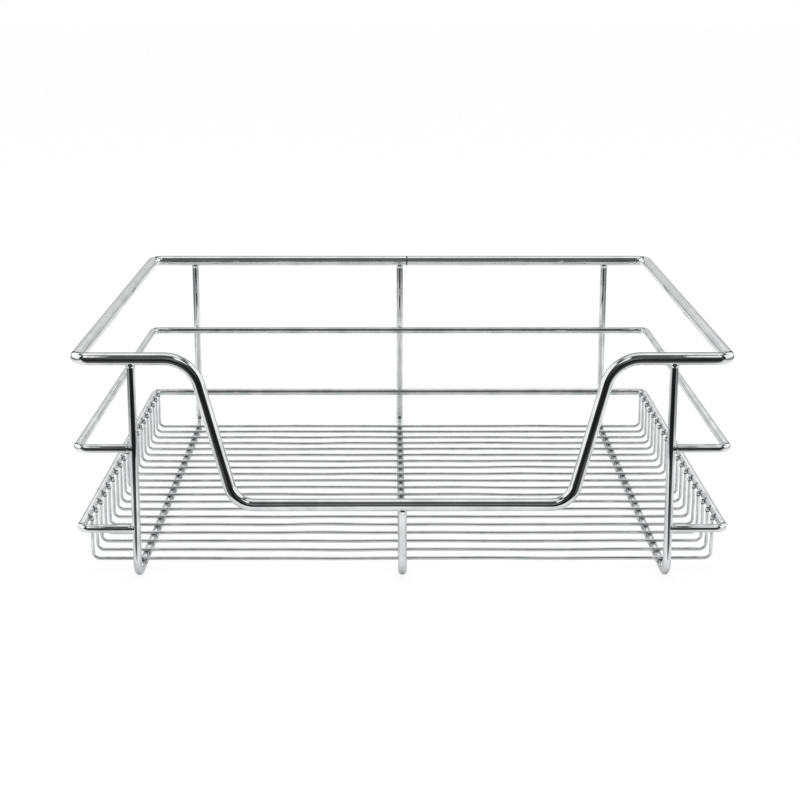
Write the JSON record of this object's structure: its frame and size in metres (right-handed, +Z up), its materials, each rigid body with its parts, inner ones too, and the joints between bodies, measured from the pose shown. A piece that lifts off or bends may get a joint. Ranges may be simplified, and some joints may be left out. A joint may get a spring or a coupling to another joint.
{
  "type": "pull out wire basket",
  "caption": "Open wire basket for a kitchen base cabinet: a thick rim that dips at the front, thin rails and legs welded to it, and a base of close wires.",
  "frame": {"origin": "on the surface that the basket stands on, under the middle of the basket", "axes": "+X across the basket's width, +Y from the dipped front to the back, +Z up"},
  "size_m": [0.464, 0.43, 0.166],
  "materials": {
    "chrome_rim": "bright decorative chrome plating on drawn steel rod",
    "chrome_rail": "bright decorative chrome plating on drawn steel rod",
    "chrome_leg": "bright decorative chrome plating on drawn steel rod",
    "chrome_base_wire": "bright decorative chrome plating on drawn steel wire"
  },
  "bodies": {
    "root": {"top_rim": "chrome_rim", "middle_rail": "chrome_rail", "lower_rail": "chrome_rail", "left_leg": "chrome_leg", "centre_leg": "chrome_leg", "right_leg": "chrome_leg", "base_wire_01": "chrome_base_wire", "base_wire_02": "chrome_base_wire", "base_wire_03": "chrome_base_wire", "base_wire_04": "chrome_base_wire", "base_wire_05": "chrome_base_wire", "base_wire_06": "chrome_base_wire", "base_wire_07": "chrome_base_wire", "base_wire_08": "chrome_base_wire", "base_wire_09": "chrome_base_wire", "base_wire_10": "chrome_base_wire", "base_wire_11": "chrome_base_wire", "base_wire_12": "chrome_base_wire", "base_wire_13": "chrome_base_wire", "base_wire_14": "chrome_base_wire", "base_wire_15": "chrome_base_wire", "base_wire_16": "chrome_base_wire", "base_wire_17": "chrome_base_wire", "base_wire_18": "chrome_base_wire", "base_wire_19": "chrome_base_wire", "base_wire_20": "chrome_base_wire"}
  },
  "joints": []
}
